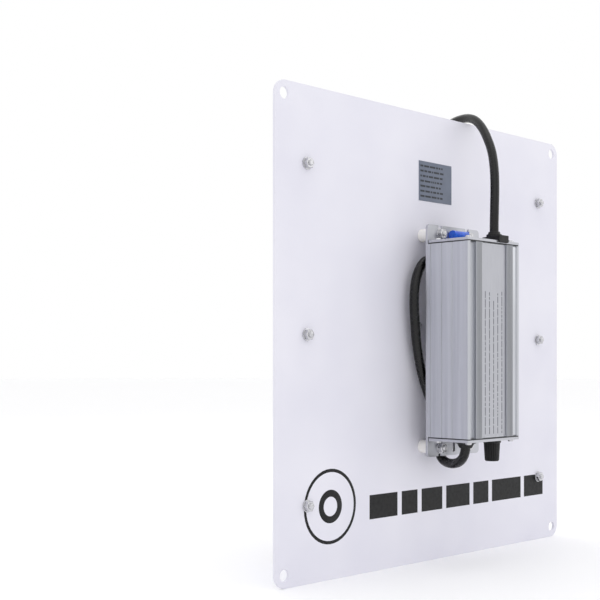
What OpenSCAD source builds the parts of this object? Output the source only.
// LED grow light: a flat back plate with an LED board on its front (+Y) and a
// dimmable driver on spacers behind it (-Y). +Z is up and +X is to the right
// when the driver side is seen. The origin is the centre of the four hanging
// holes, on the plate's rear face. All sizes are in millimetres.

/* [Back plate] */
// Width of the back plate
plate_w = 350; // [340:1:500]
// Height of the back plate
plate_h = 350; // [300:1:500]
// Thickness of the back plate
plate_t = 2; // [1.5:0.1:4]
// Radius of the plate's corners
plate_r = 10; // [4:1:14]
// Diameter of the hanging holes
hang_d = 8.5; // [6:0.5:10]
// Distance from the plate's edges to the centre of a hanging hole
hang_edge = 9; // [8:0.5:9.5]

/* [LED board] */
// Width of the bare border that the plate shows round the board
border = 15; // [15:1:20]
// Thickness of the LED board
board_t = 1.6; // [1:0.1:3]
// Radius of the board's corners
board_r = 11; // [4:1:14]
// Side of a full-size LED package
led_side = 3; // [2:0.1:4]
// Side of the packages in the outermost single column
led_small_side = 2.4; // [1.5:0.1:3]
// Height of an LED package
led_t = 0.7; // [0.4:0.1:1.5]
// Distance between the columns in a block of LEDs
block_pitch = 10; // [8:0.5:11]
// Columns in a block of LEDs
block_columns = 6; // [3:1:7]
// Distance from the board's edge to the outermost column
block_inset = 11; // [8:1:16]
// Gap between a block and the nearest single column
block_gap = 21; // [12:1:26]
// Distance from the board's edge to its outermost row
row_inset = 8; // [5:1:12]
// Distance between the two outermost rows
edge_pitch = 9.5; // [8:0.5:12]
// Height of the innermost row above the middle
first_row = 37.5; // [30:0.5:45]

/* [Fixings] */
// Thread diameter of the board screws and driver bolts
screw_d = 4; // [3:0.5:5]
// Thread diameter of the cover screws and end cap screws
small_screw_d = 3; // [2:0.5:3.5]
// Distance from the board's edge to the board screws
screw_inset = 16; // [14:1:18]

/* [Terminal cover] */
// Width of the raised part of the terminal cover
cover_w = 38; // [34:1:44]
// Height of the terminal cover
cover_h = 25; // [22:1:32]
// How far the cover stands off the board
cover_d = 8; // [7:0.5:14]
// Wall of the terminal cover
cover_wall = 1.8; // [1:0.1:2.2]
// Width of the screw ears at each side of the cover
ear_w = 6.5; // [6:0.5:9]
// Thickness of the screw ears
ear_t = 2.4; // [1.5:0.1:4]

/* [Driver] */
// Length of the nylon spacers between plate and driver
spacer_l = 16.4; // [15:0.1:25]
// Diameter of the nylon spacers
spacer_d = 10; // [8:0.5:12]
// Width of the driver's case
case_w = 64.8; // [60:0.1:90]
// Depth of the driver's case
case_d = 38.6; // [36:0.1:60]
// Length of the driver's case with its end caps
case_l = 152; // [140:1:190]
// Wall of the case
case_wall = 2.2; // [1.5:0.1:3]
// Depth of the lid, from the seam to the front
lid_d = 3.9; // [3.5:0.1:6]
// Half width of the sunk panel that holds the driver's label
panel_half = 16; // [12:0.5:18]
// Thickness of the end caps
cap_t = 2; // [1.5:0.1:3]
// Thickness of the end cap gaskets
gasket_t = 0.8; // [0.5:0.1:1.5]
// Thickness of the mounting plate under the case
mount_t = 2; // [1.5:0.1:3]
// Half distance between the two bolts at one end of the driver
bolt_x = 17; // [14:0.5:20]
// Distance from the end of the case to the driver bolts
bolt_out = 6; // [5.5:0.5:9]
// How far the mounting plate reaches past the case at each end
mount_out = 12.5; // [11:0.5:20]
// Height of the driver's middle above the middle of the back plate
driver_z = -3; // [-5:0.5:5]

/* [Dimmer] */
// Distance of the dimmer's axis from the middle of the driver
dimmer_x = 16; // [15:0.5:18]
// Diameter of the dimmer shaft
shaft_d = 6; // [4:0.5:6]
// Diameter of the knob at its skirt
knob_d = 14; // [14:0.5:18]
// Diameter of the knob at its end
knob_end_d = 11; // [10:0.5:12.5]
// Length of the knob
knob_l = 16; // [12:0.5:22]

/* [Cables] */
// Diameter of the mains cord
cord_d = 7; // [6:0.5:8]
// Diameter of the cable from the driver to the board
cable_d = 7.3; // [5:0.1:8]
// Distance of the mains gland from the middle of the driver
mains_x = 19; // [16:0.5:20]
// Distance of the output gland from the middle of the driver
output_x = 17.5; // [14:0.5:18]

/* [Hidden] */
$fn = 48;

// Clearances
screw_clear = 0.4;    // a screw in a plain hole, on the diameter
thread_clear = 0.1;   // a screw in its nut, on the diameter
run_clear = 0.1;      // the dimmer shaft in its bush, on the diameter
seat_clear = 0.3;     // a piece beside another in the driver's case
over = 1;             // how far a cutting tool passes a face

// Back plate and board
hang_x = plate_w / 2 - hang_edge;
hang_z = plate_h / 2 - hang_edge;
board_w = plate_w - 2 * border;
board_h = plate_h - 2 * border;
board_y = plate_t;
front_y = board_y + board_t;
hole_d = screw_d + screw_clear;
small_hole_d = small_screw_d + screw_clear;
tooling_d = 2;
tooling_inset = [5, 13.5];

// LED columns and rows, each on both sides of the middle
block_x = board_w / 2 - block_inset - (block_columns - 1) * block_pitch;
single_columns = 3;
single_pitch = (block_x - block_gap) / single_columns;
columns = [
    for (i = [1 : single_columns]) i * single_pitch,
    for (i = [0 : block_columns - 1]) block_x + i * block_pitch
];
small_column = single_columns - 1;
edge_row = board_h / 2 - row_inset;
inner_rows = 8;
row_pitch = (edge_row - edge_pitch - first_row) / (inner_rows - 1);
rows = [for (i = [0 : inner_rows - 1]) first_row + i * row_pitch, edge_row];
warm_rows = [0, 5];
red_row = 3;
far_red_rows = [2, 3];

// Fixings
screw_x = board_w / 2 - screw_inset;
screw_z = rows[5] + row_pitch / 2;
head_d = 2 * screw_d;
head_h = 0.55 * screw_d;
washer_d = 9;
washer_t = 0.8;
nut_t = 0.8 * screw_d;
nut_af = 1.75 * screw_d;
small_nut_t = 0.8 * small_screw_d;
small_nut_af = 1.83 * small_screw_d;
tip = 1.4;            // thread that shows past a nut

// Terminal cover
ear_x = cover_w / 2 + ear_w / 2;
ear_z = cover_h / 2 - 3.5;
lead_hole_d = 16;
grommet_neck_d = 14;
grommet_flange_d = 18;
grommet_flange_t = 1.5;
terminal_w = 7.5;
terminal_h = 16;
terminal_t = 5.4;
lead_d = 2;

// Driver
mount_y = -spacer_l;
case_y = mount_y - mount_t;
case_front_y = case_y - case_d;
seam_d = case_d - lid_d;
body_z = case_l / 2 - cap_t - gasket_t;
bolt_z = case_l / 2 + bolt_out;
mount_l = case_l + 2 * mount_out;
port_x = case_w / 2 - case_wall - 3.3;
port_back = 5.5;
port_front = case_d - 4.5;
port_d = 6;
port_bore = small_screw_d + thread_clear;
axis_d = 24.4;        // depth of the glands and the dimmer from the case's back
axis_y = case_y - axis_d;
panel_sink = 1.3;
lid_plate = lid_d - panel_sink - 0.4;
rib_pitch = 1.2;
rib_w = 0.6;
ribs = 7;
ridge_w = 3;
groove_w = 0.7;
groove_deep = 0.5;
grooves = [3, 13.2, 23];
label_t = 0.3;
label_l = case_l - 8;

// Driver's inside
pcb_t = 1.6;
pcb_d = port_back + port_d / 2 + 1.2;
pcb_half_w = case_w / 2 - case_wall - seat_clear;
pcb_half_l = body_z - 3;
rail = 2;
parts_d = pcb_d + pcb_t;
core = [34, 18, 30];  // across, deep, along
core_window = 8;
core_yoke = 6;
winding_out = 1.5;    // how far the winding stands out of the core
core_d = parts_d + winding_out + core[1] / 2;

// Dimmer
bush_d = shaft_d + run_clear + 1.3;
bush_l = 7;
pot_d = 16;
pot_l = 8;
dimmer_nut_af = bush_d + 2.6;
dimmer_nut_t = 2;
knob_gap = 0.6;
knob_z = -case_l / 2 - knob_gap;
shaft_top = -body_z + 5;
shaft_l = shaft_top - knob_z + 12;

// Glands
gland_thread_d = 12;
gland_flange_d = 19;
gland_flange_t = 4;
gland_inside = 6;
gland_out = 8.5;
gland_lip = [12, 1.4, 5.5];
output_out = 5;
output_flange = [15.5, 1.4];
gland_nut_af = 15;

// Labels
rating_size = [41, 31];
rating_at = [0, 122];

// Mains cord: out of the gland, up over the plate's top edge, down to the floor
floor_z = -175;
cord_route = [
    [19, -42.8, 78], [19, -42.8, 88], [19.5, -42.8, 102], [21, -42, 117], [23, -40, 131],
    [27, -35, 145], [31, -28, 157], [36, -19, 168], [41, -9, 176], [45, 1, 180],
    [48, 12, 181], [51, 24, 179.5], [53, 34, 174], [55, 42, 164], [57, 46, 150],
    [58, 47, 130], [59, 46, 100], [60, 42, 70], [61, 38, 40], [62, 34, 10],
    [63, 30, -20], [64, 27, -50], [65, 24, -80], [66, 22, -108], [66, 22, -134],
    [67, 22, -143], [70, 22, -150], [75, 22, -156], [81, 22, -160.5], [88, 22, -163],
    [96, 22, -163.5]
];
// Cable from the driver's bottom end, up behind the driver and into the plate
cable_route = [
    [-17.5, -42.8, -80], [-17.5, -42.8, -84], [-17, -40.5, -90.5], [-14.5, -34.5, -95],
    [-11.5, -26.5, -97], [-9, -19, -97], [-7.5, -13, -94.7], [-6.3, -9.5, -90], [-5, -9, -82],
    [-6, -9, -70], [-11, -9, -59], [-19, -9, -46], [-27, -9, -30], [-33, -9, -10],
    [-36, -9, 10], [-37, -9, 30], [-34, -9, 46], [-26, -9, 57], [-15, -9, 60], [-6, -9, 54],
    [-1, -9, 42], [0, -9, 28], [0, -9, 14], [0, -8.7, 7.5], [0, -6.8, 3.2], [0, -3.6, 0.8],
    [0, 0, 0], [0, 4, 0]
];
// Lead from the hank to the plug
tail_route = [
    [33, 78, -170.5], [24, 78, -170.5], [14, 77, -169], [4, 75.2, -166], [-6, 74, -164.5]
];

// Hank of spare cord, lying on the floor in front of the LED side. Its turns run
// in two lanes and two layers, round two ends that lie hank_run apart.
tie_t = 1;
tie_w = 12;
tie_x = 112;
hank_at = [85, 50];
hank_run = 104;
hank_layers = 2;
hank_inner = 17.5;
hank_outer = 31.5;
hank_z = floor_z + tie_t;
hank_h = hank_layers * cord_d;

// Plug, lying beside the hank with its blades towards -X
plug_at = [-6, 74, -164.5];
relief_l = 28;
relief_d = 13;
plug_l = 36;
plug_w = 26;
plug_t = 21;
blade = [17, 1.6, 6.4];
blade_half = 6.35;
pin_d = 4.8;
pin_l = 20;
pin_drop = 11.9;

// Helpers

// A flat outline in X and Z, given a thickness t from y towards +Y
module slab(y, t) {
    translate([0, y + t, 0]) rotate([90, 0, 0]) linear_extrude(t) children();
}

// A round rod or hole along Y, from y0 to y1
module rod_y(d, y0, y1) {
    translate([0, y0, 0]) rotate([-90, 0, 0]) cylinder(d = d, h = y1 - y0);
}

// A flat outline in X and depth from the case's back, given a length along Z
module case_slab(z0, z1) {
    translate([0, case_y, z0]) mirror([0, 1, 0]) linear_extrude(z1 - z0) children();
}

module at_corners(x, z) {
    for (sx = [-1, 1], sz = [-1, 1]) translate([sx * x, 0, sz * z]) children();
}

module rounded(w, h, r) {
    square([w - 2 * r, h], center = true);
    square([w, h - 2 * r], center = true);
    for (sx = [-1, 1], sy = [-1, 1]) translate([sx * (w / 2 - r), sy * (h / 2 - r)]) circle(r);
}

// Places of the six screws that hold the board to the plate
module at_board_screws() {
    for (sx = [-1, 1], z = [-screw_z, 0, screw_z]) translate([sx * screw_x, 0, z]) children();
}

// Moves what is made round the driver's own middle to its place
module on_driver() {
    translate([0, 0, driver_z]) children();
}

module at_driver_bolts() {
    on_driver() at_corners(bolt_x, bolt_z) children();
}

module at_cover_screws() {
    at_corners(ear_x, ear_z) children();
}

// Holes that the plate and the board share
module shared_holes(y0, y1) {
    at_board_screws() rod_y(hole_d, y0, y1);
    at_driver_bolts() rod_y(hole_d, y0, y1);
    at_cover_screws() rod_y(small_hole_d, y0, y1);
}

// Screw along Y: its head stands on face and its tip ends at y_tip
module screw_y(d, face, y_tip, hd, hh) {
    difference() {
        union() {
            rod_y(hd, face, face + hh * 0.7);
            translate([0, face + hh * 0.7, 0]) rotate([-90, 0, 0])
                cylinder(d1 = hd, d2 = hd * 0.7, h = hh * 0.3);
            rod_y(d, y_tip, face + hh * 0.5);
        }
        for (a = [0, 90]) translate([0, face + hh, 0]) rotate([0, a, 0])
            cube([hd * 0.55, hh, d * 0.2], center = true);
    }
}

// Hexagon nut along Y, from y0 to y1
module nut_y(d, af, y0, y1) {
    difference() {
        translate([0, y0, 0]) rotate([-90, 0, 0]) cylinder(d = af / cos(30), h = y1 - y0, $fn = 6);
        rod_y(d + thread_clear, y0 - over, y1 + over);
    }
}

function unit(v) = v / norm(v);
function tangent(p, i) = unit(p[min(i + 1, len(p) - 1)] - p[max(i - 1, 0)]);

// The first side direction, turned as little as possible from ring to ring
function sides(p, i, last) = i == len(p) ? [] :
    let (t = tangent(p, i), s = unit(last - (last * t) * t)) concat([s], sides(p, i + 1, s));

// Closed tube of diameter d with one ring of n points at each point of the route p
module tube(p, d, n, start) {
    side = sides(p, 0, start);
    ring_points = [
        for (i = [0 : len(p) - 1])
            let (s = side[i], b = cross(tangent(p, i), s))
                for (k = [0 : n - 1]) p[i] + d / 2 * (cos(360 * k / n) * s + sin(360 * k / n) * b)
    ];
    walls = [
        for (i = [0 : len(p) - 2], k = [0 : n - 1])
            let (a = i * n + k, b = i * n + (k + 1) % n)
                each [[a, a + n, b], [b, a + n, b + n]]
    ];
    first_end = [for (k = [0 : n - 1]) k];
    last_end = [for (k = [n - 1 : -1 : 0]) (len(p) - 1) * n + k];
    polyhedron(points = ring_points, faces = concat([first_end], walls, [last_end]));
}

// Plate and board

module back_plate() {
    color("ghostwhite") difference() {
        slab(0, plate_t) rounded(plate_w, plate_h, plate_r);
        at_corners(hang_x, hang_z) rod_y(hang_d, -over, plate_t + over);
        shared_holes(-over, plate_t + over);
        rod_y(grommet_neck_d, -over, plate_t + over);
    }
}

module led_board() {
    color("white") difference() {
        slab(board_y, board_t) rounded(board_w, board_h, board_r);
        shared_holes(board_y - over, front_y + over);
        rod_y(lead_hole_d, board_y - over, front_y + over);
        at_corners(board_w / 2 - tooling_inset[0], board_h / 2 - tooling_inset[1])
            rod_y(tooling_d, board_y - over, front_y + over);
    }
}

module led(column, row) {
    side = column == small_column ? led_small_side : led_side;
    at_corners(columns[column], rows[row]) translate([0, front_y + led_t / 2, 0])
        cube([side, led_t, side], center = true);
}

function is_in(value, list) = len([for (v = list) if (v == value) v]) > 0;
function is_far_red(column, row) = column == small_column && is_in(row, far_red_rows);
function is_warm(row) = is_in(row, warm_rows);

module cool_white_leds() {
    color("aliceblue")
        for (c = [0 : len(columns) - 1], r = [0 : len(rows) - 1])
            if (!is_warm(r) && r != red_row && !is_far_red(c, r)) led(c, r);
}

module warm_white_leds() {
    color("moccasin")
        for (c = [0 : len(columns) - 1], r = warm_rows)
            led(c, r);
}

module deep_red_leds() {
    color("deeppink")
        for (c = [0 : len(columns) - 1])
            if (!is_far_red(c, red_row)) led(c, red_row);
}

module far_red_leds() {
    color("dimgray")
        for (r = far_red_rows) led(small_column, r);
}

module board_screws() {
    color("silver") at_board_screws()
        screw_y(screw_d, front_y, -washer_t - nut_t - tip, head_d, head_h);
}

module board_washers() {
    color("gainsboro") at_board_screws() difference() {
        rod_y(washer_d, -washer_t, 0);
        rod_y(hole_d, -washer_t - over, over);
    }
}

module board_nuts() {
    color("silver") at_board_screws() nut_y(screw_d, nut_af, -washer_t - nut_t, -washer_t);
}

// Terminal cover and what is under it

module terminal_blocks() {
    color("beige") for (s = [-1, 1]) translate([s * (lead_hole_d / 2 + 1 + terminal_w / 2), 0, 0])
        difference() {
            slab(front_y, terminal_t) square([terminal_w, terminal_h], center = true);
            for (z = [-4, 4]) translate([0, 0, z]) rod_y(3, front_y + 3, front_y + terminal_t + over);
        }
}

module terminal_leads() {
    color("red") for (s = [-1, 1])
        tube([[s * 1.6, 4, 0], [s * 1.6, 4.6, 0], [s * 2.5, 6, 0], [s * 4.5, 6.8, 0], [s * 8.8, 6.8, 0]],
            lead_d, 8, [0, 0, 1]);
}

module terminal_cover() {
    color("black") difference() {
        union() {
            slab(front_y, cover_d) rounded(cover_w, cover_h, 2);
            slab(front_y, ear_t) rounded(cover_w + 2 * ear_w, cover_h, 2);
        }
        slab(front_y - over, cover_d - cover_wall + over)
            rounded(cover_w - 2 * cover_wall, cover_h - 2 * cover_wall, 1);
        at_cover_screws() rod_y(small_hole_d, front_y - over, front_y + ear_t + over);
    }
}

module cover_screws() {
    color("silver") at_cover_screws()
        screw_y(small_screw_d, front_y + ear_t, -small_nut_t - tip, 2 * small_screw_d - 0.5, 1.8);
}

module cover_nuts() {
    color("silver") at_cover_screws() nut_y(small_screw_d, small_nut_af, -small_nut_t, 0);
}

module cable_grommet() {
    color("black") difference() {
        union() {
            rod_y(grommet_flange_d, -grommet_flange_t, 0);
            rod_y(grommet_neck_d, -grommet_flange_t, front_y - 0.2);
            rod_y(lead_hole_d - 0.4, plate_t, front_y - 0.2);
        }
        rod_y(cable_d + 1.2, -grommet_flange_t - over, front_y + over);
    }
}

module output_cable() {
    color("black") tube(cable_route, cable_d, 10, [1, 0, 0]);
}

// Driver fixings

module nylon_spacers() {
    color("white") at_driver_bolts() difference() {
        rod_y(spacer_d, mount_y, 0);
        rod_y(hole_d, mount_y - over, over);
    }
}

module driver_bolts() {
    color("silver") at_driver_bolts()
        screw_y(screw_d, front_y, case_y - washer_t - nut_t - tip, head_d, head_h);
}

// The bolt at the top right has the earth terminal in place of its washer
module driver_washers() {
    color("gainsboro") for (at = [[-1, 1], [-1, -1], [1, -1]])
        translate([at[0] * bolt_x, 0, at[1] * bolt_z]) difference() {
            rod_y(washer_d, case_y - washer_t, case_y);
            rod_y(hole_d, case_y - washer_t - over, case_y + over);
        }
}

module driver_nuts() {
    color("silver") at_driver_bolts()
        nut_y(screw_d, nut_af, case_y - washer_t - nut_t, case_y - washer_t);
}

// Ring under the nut, with a blue sleeve over its crimped barrel
module earth_terminal() {
    barrel_d = 6.8;
    barrel_end = bolt_x - washer_d / 2 - 19;
    color("royalblue") union() {
        translate([bolt_x, 0, bolt_z]) difference() {
            rod_y(washer_d, case_y - washer_t, case_y);
            rod_y(hole_d, case_y - washer_t - over, case_y + over);
        }
        translate([bolt_x - washer_d / 2 - 2, case_y - washer_t, bolt_z - 2.5])
            cube([3, washer_t, 5]);
        translate([barrel_end, case_y - barrel_d / 2, bolt_z]) rotate([0, 90, 0])
            cylinder(d = barrel_d, h = bolt_x - washer_d / 2 - 1 - barrel_end);
    }
}

// Driver's case

// An open slot runs from each bolt to the end, and a tie slot stands between the two
module mounting_plate() {
    slot_l = mount_out - bolt_out + over;
    tie_slot = [3, 12];
    color("lightsteelblue") difference() {
        slab(case_y, mount_t) rounded(case_w, mount_l, 3);
        at_corners(bolt_x, bolt_z) rod_y(hole_d, case_y - over, mount_y + over);
        at_corners(bolt_x, bolt_z + slot_l / 2) slab(case_y - over, mount_t + 2 * over)
            square([hole_d, slot_l], center = true);
        for (s = [-1, 1]) translate([0, 0, s * (case_l / 2 + 4)])
            slab(case_y - over, mount_t + 2 * over) rounded(tie_slot[0], tie_slot[1], 1.4);
    }
}

module driver_base() {
    color("silver") case_slab(-body_z, body_z) difference() {
        union() {
            difference() {
                translate([-case_w / 2, 0]) square([case_w, seam_d]);
                translate([-case_w / 2 + case_wall, case_wall])
                    square([case_w - 2 * case_wall, seam_d]);
                for (sx = [-1, 1], d = grooves)
                    translate([sx * case_w / 2, d]) square([2 * groove_deep, groove_w], center = true);
            }
            for (sx = [-1, 1]) {
                translate([sx * port_x, port_back]) circle(d = port_d);
                translate([sx * (case_w / 2 - case_wall / 2 - 1), port_back])
                    square([case_wall + 2, port_d - 1], center = true);
                translate([sx * port_x, port_back / 2 + 0.5])
                    square([port_d - 1, port_back - 1], center = true);
                for (d = [pcb_d - 1.2, parts_d + 0.2])
                    translate([sx * (case_w / 2 - case_wall - rail / 2), d + 0.5])
                        square([rail + 0.4, 1], center = true);
            }
        }
        for (sx = [-1, 1]) translate([sx * port_x, port_back]) circle(d = port_bore);
    }
}

// The lid's ribs stand beside the label panel, and round ridges run along its edges
module driver_lid() {
    rib_h = panel_sink;
    color("gainsboro") case_slab(-body_z, body_z) difference() {
        union() {
            translate([-case_w / 2, seam_d]) square([case_w, lid_plate]);
            for (sx = [-1, 1]) {
                translate([sx * (panel_half + ribs * rib_pitch + 4), seam_d + lid_plate])
                    square([8, 0.8], center = true);
                for (i = [0 : ribs - 1])
                    translate([sx * (panel_half + i * rib_pitch) - rib_w / 2, seam_d + lid_plate - 0.1])
                        square([rib_w, rib_h + 0.5]);
                translate([sx * (case_w / 2 - ridge_w / 2), case_d - ridge_w / 2]) circle(d = ridge_w);
                translate([sx * (case_w / 2 - ridge_w / 2), seam_d + (lid_d - ridge_w / 2) / 2])
                    square([ridge_w, lid_d - ridge_w / 2], center = true);
                translate([sx * port_x, port_front]) circle(d = port_d);
            }
        }
        for (sx = [-1, 1]) translate([sx * port_x, port_front]) circle(d = port_bore);
    }
}

module at_ports() {
    for (sx = [-1, 1], d = [port_back, port_front]) translate([sx * port_x, d]) children();
}

module cap_outline() {
    translate([0, case_d / 2]) rounded(case_w, case_d, 1.4);
}

module top_end_cap() {
    color("lightgray") case_slab(case_l / 2 - cap_t, case_l / 2) difference() {
        cap_outline();
        at_ports() circle(d = small_hole_d);
        translate([mains_x, axis_d]) circle(d = gland_thread_d + screw_clear);
    }
}

module bottom_end_cap() {
    color("lightgray") case_slab(-case_l / 2, -case_l / 2 + cap_t) difference() {
        cap_outline();
        at_ports() circle(d = small_hole_d);
        translate([-output_x, axis_d]) circle(d = gland_thread_d + screw_clear);
        translate([dimmer_x, axis_d]) circle(d = bush_d + screw_clear);
    }
}

module gasket(z) {
    rim = 8.5;
    case_slab(z, z + gasket_t) difference() {
        translate([0, case_d / 2]) rounded(case_w - 0.6, case_d - 0.6, 1.2);
        translate([0, case_d / 2]) square([case_w - 2 * rim, case_d - 2 * rim], center = true);
        at_ports() circle(d = small_hole_d);
        for (x = [-output_x, mains_x]) translate([x, axis_d]) circle(d = gland_thread_d + 1);
    }
}

module top_gasket() {
    color("dimgray") gasket(body_z);
}

module bottom_gasket() {
    color("dimgray") gasket(-body_z - gasket_t);
}

module end_cap_screws() {
    screw_l = 9;
    cap_head_d = 5.4;
    cap_head_h = 1.6;
    color("silver") for (s = [-1, 1], sx = [-1, 1], d = [port_back, port_front])
        translate([sx * port_x, case_y - d, 0]) at_end(s) difference() {
            union() {
                translate([0, 0, case_l / 2])
                    cylinder(d1 = cap_head_d, d2 = cap_head_d - 1.4, h = cap_head_h);
                translate([0, 0, case_l / 2 - screw_l])
                    cylinder(d = small_screw_d, h = screw_l + 0.5);
            }
            for (a = [0, 90]) translate([0, 0, case_l / 2 + cap_head_h]) rotate(a)
                cube([3, 0.6, 1.6], center = true);
        }
}

// Turns over what is made for the top end, for the bottom end, when s is -1
module at_end(s) {
    if (s < 0) mirror([0, 0, 1]) children();
    else children();
}

// Driver's inside

module circuit_board() {
    color("darkgreen") case_slab(-pcb_half_l, pcb_half_l)
        translate([-pcb_half_w, pcb_d]) square([2 * pcb_half_w, pcb_t]);
}

module transformer_core() {
    color("darkslategray") translate([0, case_y - core_d, 0]) difference() {
        cube(core, center = true);
        for (sx = [-1, 1]) translate([sx * (core[0] / 4 + 0.5), 0, 0])
            cube([core_window, core[1] + over, core[2] - 2 * core_yoke], center = true);
    }
}

// Wound bobbin round the core's middle leg, inside its two windows, with its feet on the board
module transformer_winding() {
    leg = core[0] / 2 + 1 - core_window;
    color("gold") translate([0, case_y - core_d, 0]) difference() {
        cube([leg + 2 * core_window - 1, core[1] + 2 * winding_out, core[2] - 2 * core_yoke], center = true);
        cube([leg + 0.4, core[1] + 0.4, core[2]], center = true);
    }
}

module capacitors() {
    depth = case_d - lid_d - parts_d - 3;
    color("black") for (c = [[-14, 46, 16], [-18, 27, 10], [-16, -42, 12.5], [2, -48, 12.5]])
        translate([c[0], case_y - parts_d, c[1]]) rotate([90, 0, 0]) cylinder(d = c[2], h = depth);
}

module choke() {
    color("darkorange") translate([14, case_y - parts_d - 4.5, 34]) rotate([90, 0, 0])
        rotate_extrude() translate([7, 0]) circle(4.3);
}

module input_leads() {
    color("green") for (i = [-1, 0, 1])
        tube([[mains_x + 2.4 * i, axis_y, 64], [mains_x + 2.6 * i, axis_y, 60],
            [mains_x + 3.2 * i, axis_y + 6, 54], [mains_x + 3.6 * i, case_y - parts_d - 3, 52],
            [mains_x + 3.6 * i, case_y - parts_d, 52]], lead_d, 8, [1, 0, 0]);
}

// Dimmer

module potentiometer() {
    color("slategray") translate([dimmer_x, axis_y, 0]) difference() {
        union() {
            translate([0, 0, -body_z + 0.4]) cylinder(d = pot_d, h = pot_l);
            translate([0, 0, -case_l / 2 - bush_l + 3]) cylinder(d = bush_d, h = bush_l + cap_t);
        }
        translate([0, 0, -case_l / 2 - bush_l])
            cylinder(d = shaft_d + run_clear, h = shaft_top + case_l / 2 + bush_l + 0.3);
    }
}

module dimmer_nut() {
    color("gray") translate([dimmer_x, axis_y, -case_l / 2 - dimmer_nut_t]) difference() {
        cylinder(d = dimmer_nut_af / cos(30), h = dimmer_nut_t, $fn = 6);
        translate([0, 0, -over]) cylinder(d = bush_d + thread_clear, h = dimmer_nut_t + 2 * over);
    }
}

module dimmer_shaft() {
    color("silver") translate([dimmer_x, axis_y, shaft_top - shaft_l])
        cylinder(d = shaft_d, h = shaft_l);
}

// The skirt is hollow, so that it turns round the nut and the bush
module dimmer_knob() {
    skirt = 1.8;
    hollow_d = knob_d - 1.8;
    hollow_l = max(bush_l - 3, dimmer_nut_t) - knob_gap + 0.4;
    color("black") translate([dimmer_x, axis_y, knob_z]) mirror([0, 0, 1]) difference() {
        union() {
            cylinder(d = knob_d, h = skirt);
            translate([0, 0, skirt]) cylinder(d1 = knob_d - 1.4, d2 = knob_end_d, h = knob_l - skirt);
        }
        translate([0, 0, -over]) cylinder(d = hollow_d, h = dimmer_nut_t - knob_gap + 0.4 + over);
        translate([0, 0, -over]) cylinder(d = bush_d + 0.6, h = hollow_l + over);
        translate([0, 0, -over]) cylinder(d = shaft_d, h = shaft_l - (shaft_top - knob_z) + over);
        translate([0, -knob_d / 2, knob_l]) cube([0.8, knob_d - 3, 1], center = true);
    }
}

// Glands and labels

// The gland has a lip that folds over the front edge of the case
module mains_gland() {
    ring_d = 12;
    ring_t = 2.4;
    lip_x = -gland_lip[0] - 3;
    lip_y = case_front_y - axis_y - gland_lip[1];
    color("black") translate([mains_x, axis_y, case_l / 2]) difference() {
        union() {
            translate([0, 0, -cap_t - gland_inside])
                cylinder(d = gland_thread_d, h = cap_t + gland_inside + 1);
            cylinder(d = gland_flange_d, h = gland_flange_t);
            translate([0, 0, gland_flange_t]) cylinder(d = ring_d, h = ring_t);
            translate([0, 0, gland_flange_t + ring_t])
                cylinder(d1 = cord_d + 3, d2 = cord_d + 1.6, h = gland_out - gland_flange_t - ring_t);
            translate([lip_x, lip_y, 0])
                cube([gland_lip[0], -lip_y - gland_thread_d / 2, gland_flange_t]);
            translate([lip_x, lip_y, gland_flange_t - gland_lip[2]]) cube(gland_lip);
        }
        translate([0, 0, -cap_t - gland_inside - over])
            cylinder(d = cord_d + 0.4, h = cap_t + gland_inside + gland_out + 2 * over);
    }
}

module mains_gland_nut() {
    color("dimgray") translate([mains_x, axis_y, body_z - 3.4]) difference() {
        cylinder(d = gland_nut_af / cos(30), h = 3, $fn = 6);
        translate([0, 0, -over]) cylinder(d = gland_thread_d + thread_clear, h = 3 + 2 * over);
    }
}

module output_gland() {
    color("black") translate([-output_x, axis_y, -case_l / 2]) mirror([0, 0, 1]) difference() {
        union() {
            translate([0, 0, -cap_t - gasket_t - 3]) cylinder(d = gland_thread_d, h = cap_t + gasket_t + 4);
            cylinder(d = output_flange[0], h = output_flange[1]);
            translate([0, 0, output_flange[1]])
                cylinder(d1 = gland_thread_d + 1, d2 = cable_d + 2, h = output_out - output_flange[1]);
        }
        translate([0, 0, -cap_t - gasket_t - 3 - over])
            cylinder(d = cable_d + 0.4, h = cap_t + gasket_t + 3 + output_out + 2 * over);
    }
}

module driver_label() {
    panel_y = case_y - seam_d - lid_plate;
    color("lightslategray") slab(panel_y - label_t, label_t)
        square([2 * panel_half - 1.6, label_l], center = true);
}

module rating_label() {
    color("slategray") translate([rating_at[0], 0, rating_at[1]])
        slab(-label_t, label_t) rounded(rating_size[0], rating_size[1], 1);
}

// Mains cord and plug

module mains_cord() {
    color("black") tube(cord_route, cord_d, 10, [1, 0, 0]);
}

// Outline of the hank, r from the line between its two ends' centres
module round_ended(r) {
    for (s = [-1, 1]) translate([s * hank_run / 2, 0]) circle(r);
    square([hank_run, 2 * r], center = true);
}

module mains_hank() {
    color("black") translate([hank_at[0], hank_at[1], hank_z]) linear_extrude(hank_h) difference() {
        round_ended(hank_outer);
        round_ended(hank_inner);
    }
}

module plug_lead() {
    color("black") tube(tail_route, cord_d, 10, [0, 1, 0]);
}

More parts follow.
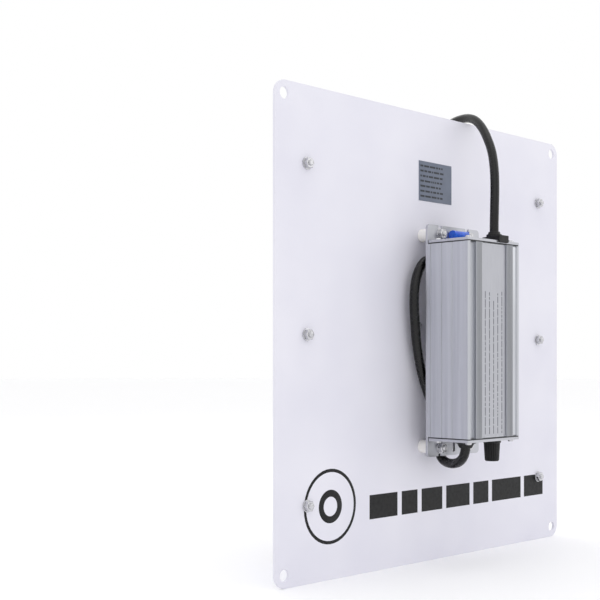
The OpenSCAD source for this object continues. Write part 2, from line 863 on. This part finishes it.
// Band round the turns, on the side away from the plate
module cord_tie() {
    width = hank_outer - hank_inner;
    color("dimgray") translate([tie_x - tie_w / 2, hank_at[1] + hank_inner, hank_z]) difference() {
        translate([0, -tie_t, -tie_t]) cube([tie_w, width + 2 * tie_t, hank_h + 2 * tie_t]);
        translate([-over, 0, 0]) cube([tie_w + 2 * over, width, hank_h]);
    }
}

module plug_body() {
    color("black") translate(plug_at) rotate([0, -90, 0]) {
        cylinder(d1 = relief_d - 3, d2 = relief_d, h = relief_l);
        translate([0, 0, relief_l]) linear_extrude(plug_l) rounded(plug_t, plug_w, 5);
    }
}

module plug_blades() {
    color("goldenrod") translate(plug_at) for (s = [-1, 1])
        translate([-relief_l - plug_l - blade[0], s * blade_half - blade[1] / 2, -blade[2] / 2 + 2])
            cube(blade);
}

module plug_earth_pin() {
    color("goldenrod") translate(plug_at + [-relief_l - plug_l, 0, 5 - pin_drop])
        rotate([0, -90, 0]) cylinder(d = pin_d, h = pin_l);
}

back_plate();
led_board();
cool_white_leds();
warm_white_leds();
deep_red_leds();
far_red_leds();
board_screws();
board_washers();
board_nuts();
terminal_blocks();
terminal_leads();
terminal_cover();
cover_screws();
cover_nuts();
cable_grommet();
output_cable();
nylon_spacers();
driver_bolts();
on_driver() driver_washers();
driver_nuts();
on_driver() earth_terminal();
on_driver() mounting_plate();
on_driver() driver_base();
on_driver() driver_lid();
on_driver() top_end_cap();
on_driver() bottom_end_cap();
on_driver() top_gasket();
on_driver() bottom_gasket();
on_driver() end_cap_screws();
on_driver() circuit_board();
on_driver() transformer_core();
on_driver() transformer_winding();
on_driver() capacitors();
on_driver() choke();
on_driver() input_leads();
on_driver() potentiometer();
on_driver() dimmer_nut();
on_driver() dimmer_shaft();
on_driver() dimmer_knob();
on_driver() mains_gland();
on_driver() mains_gland_nut();
on_driver() output_gland();
on_driver() driver_label();
rating_label();
mains_cord();
mains_hank();
plug_lead();
cord_tie();
plug_body();
plug_blades();
plug_earth_pin();
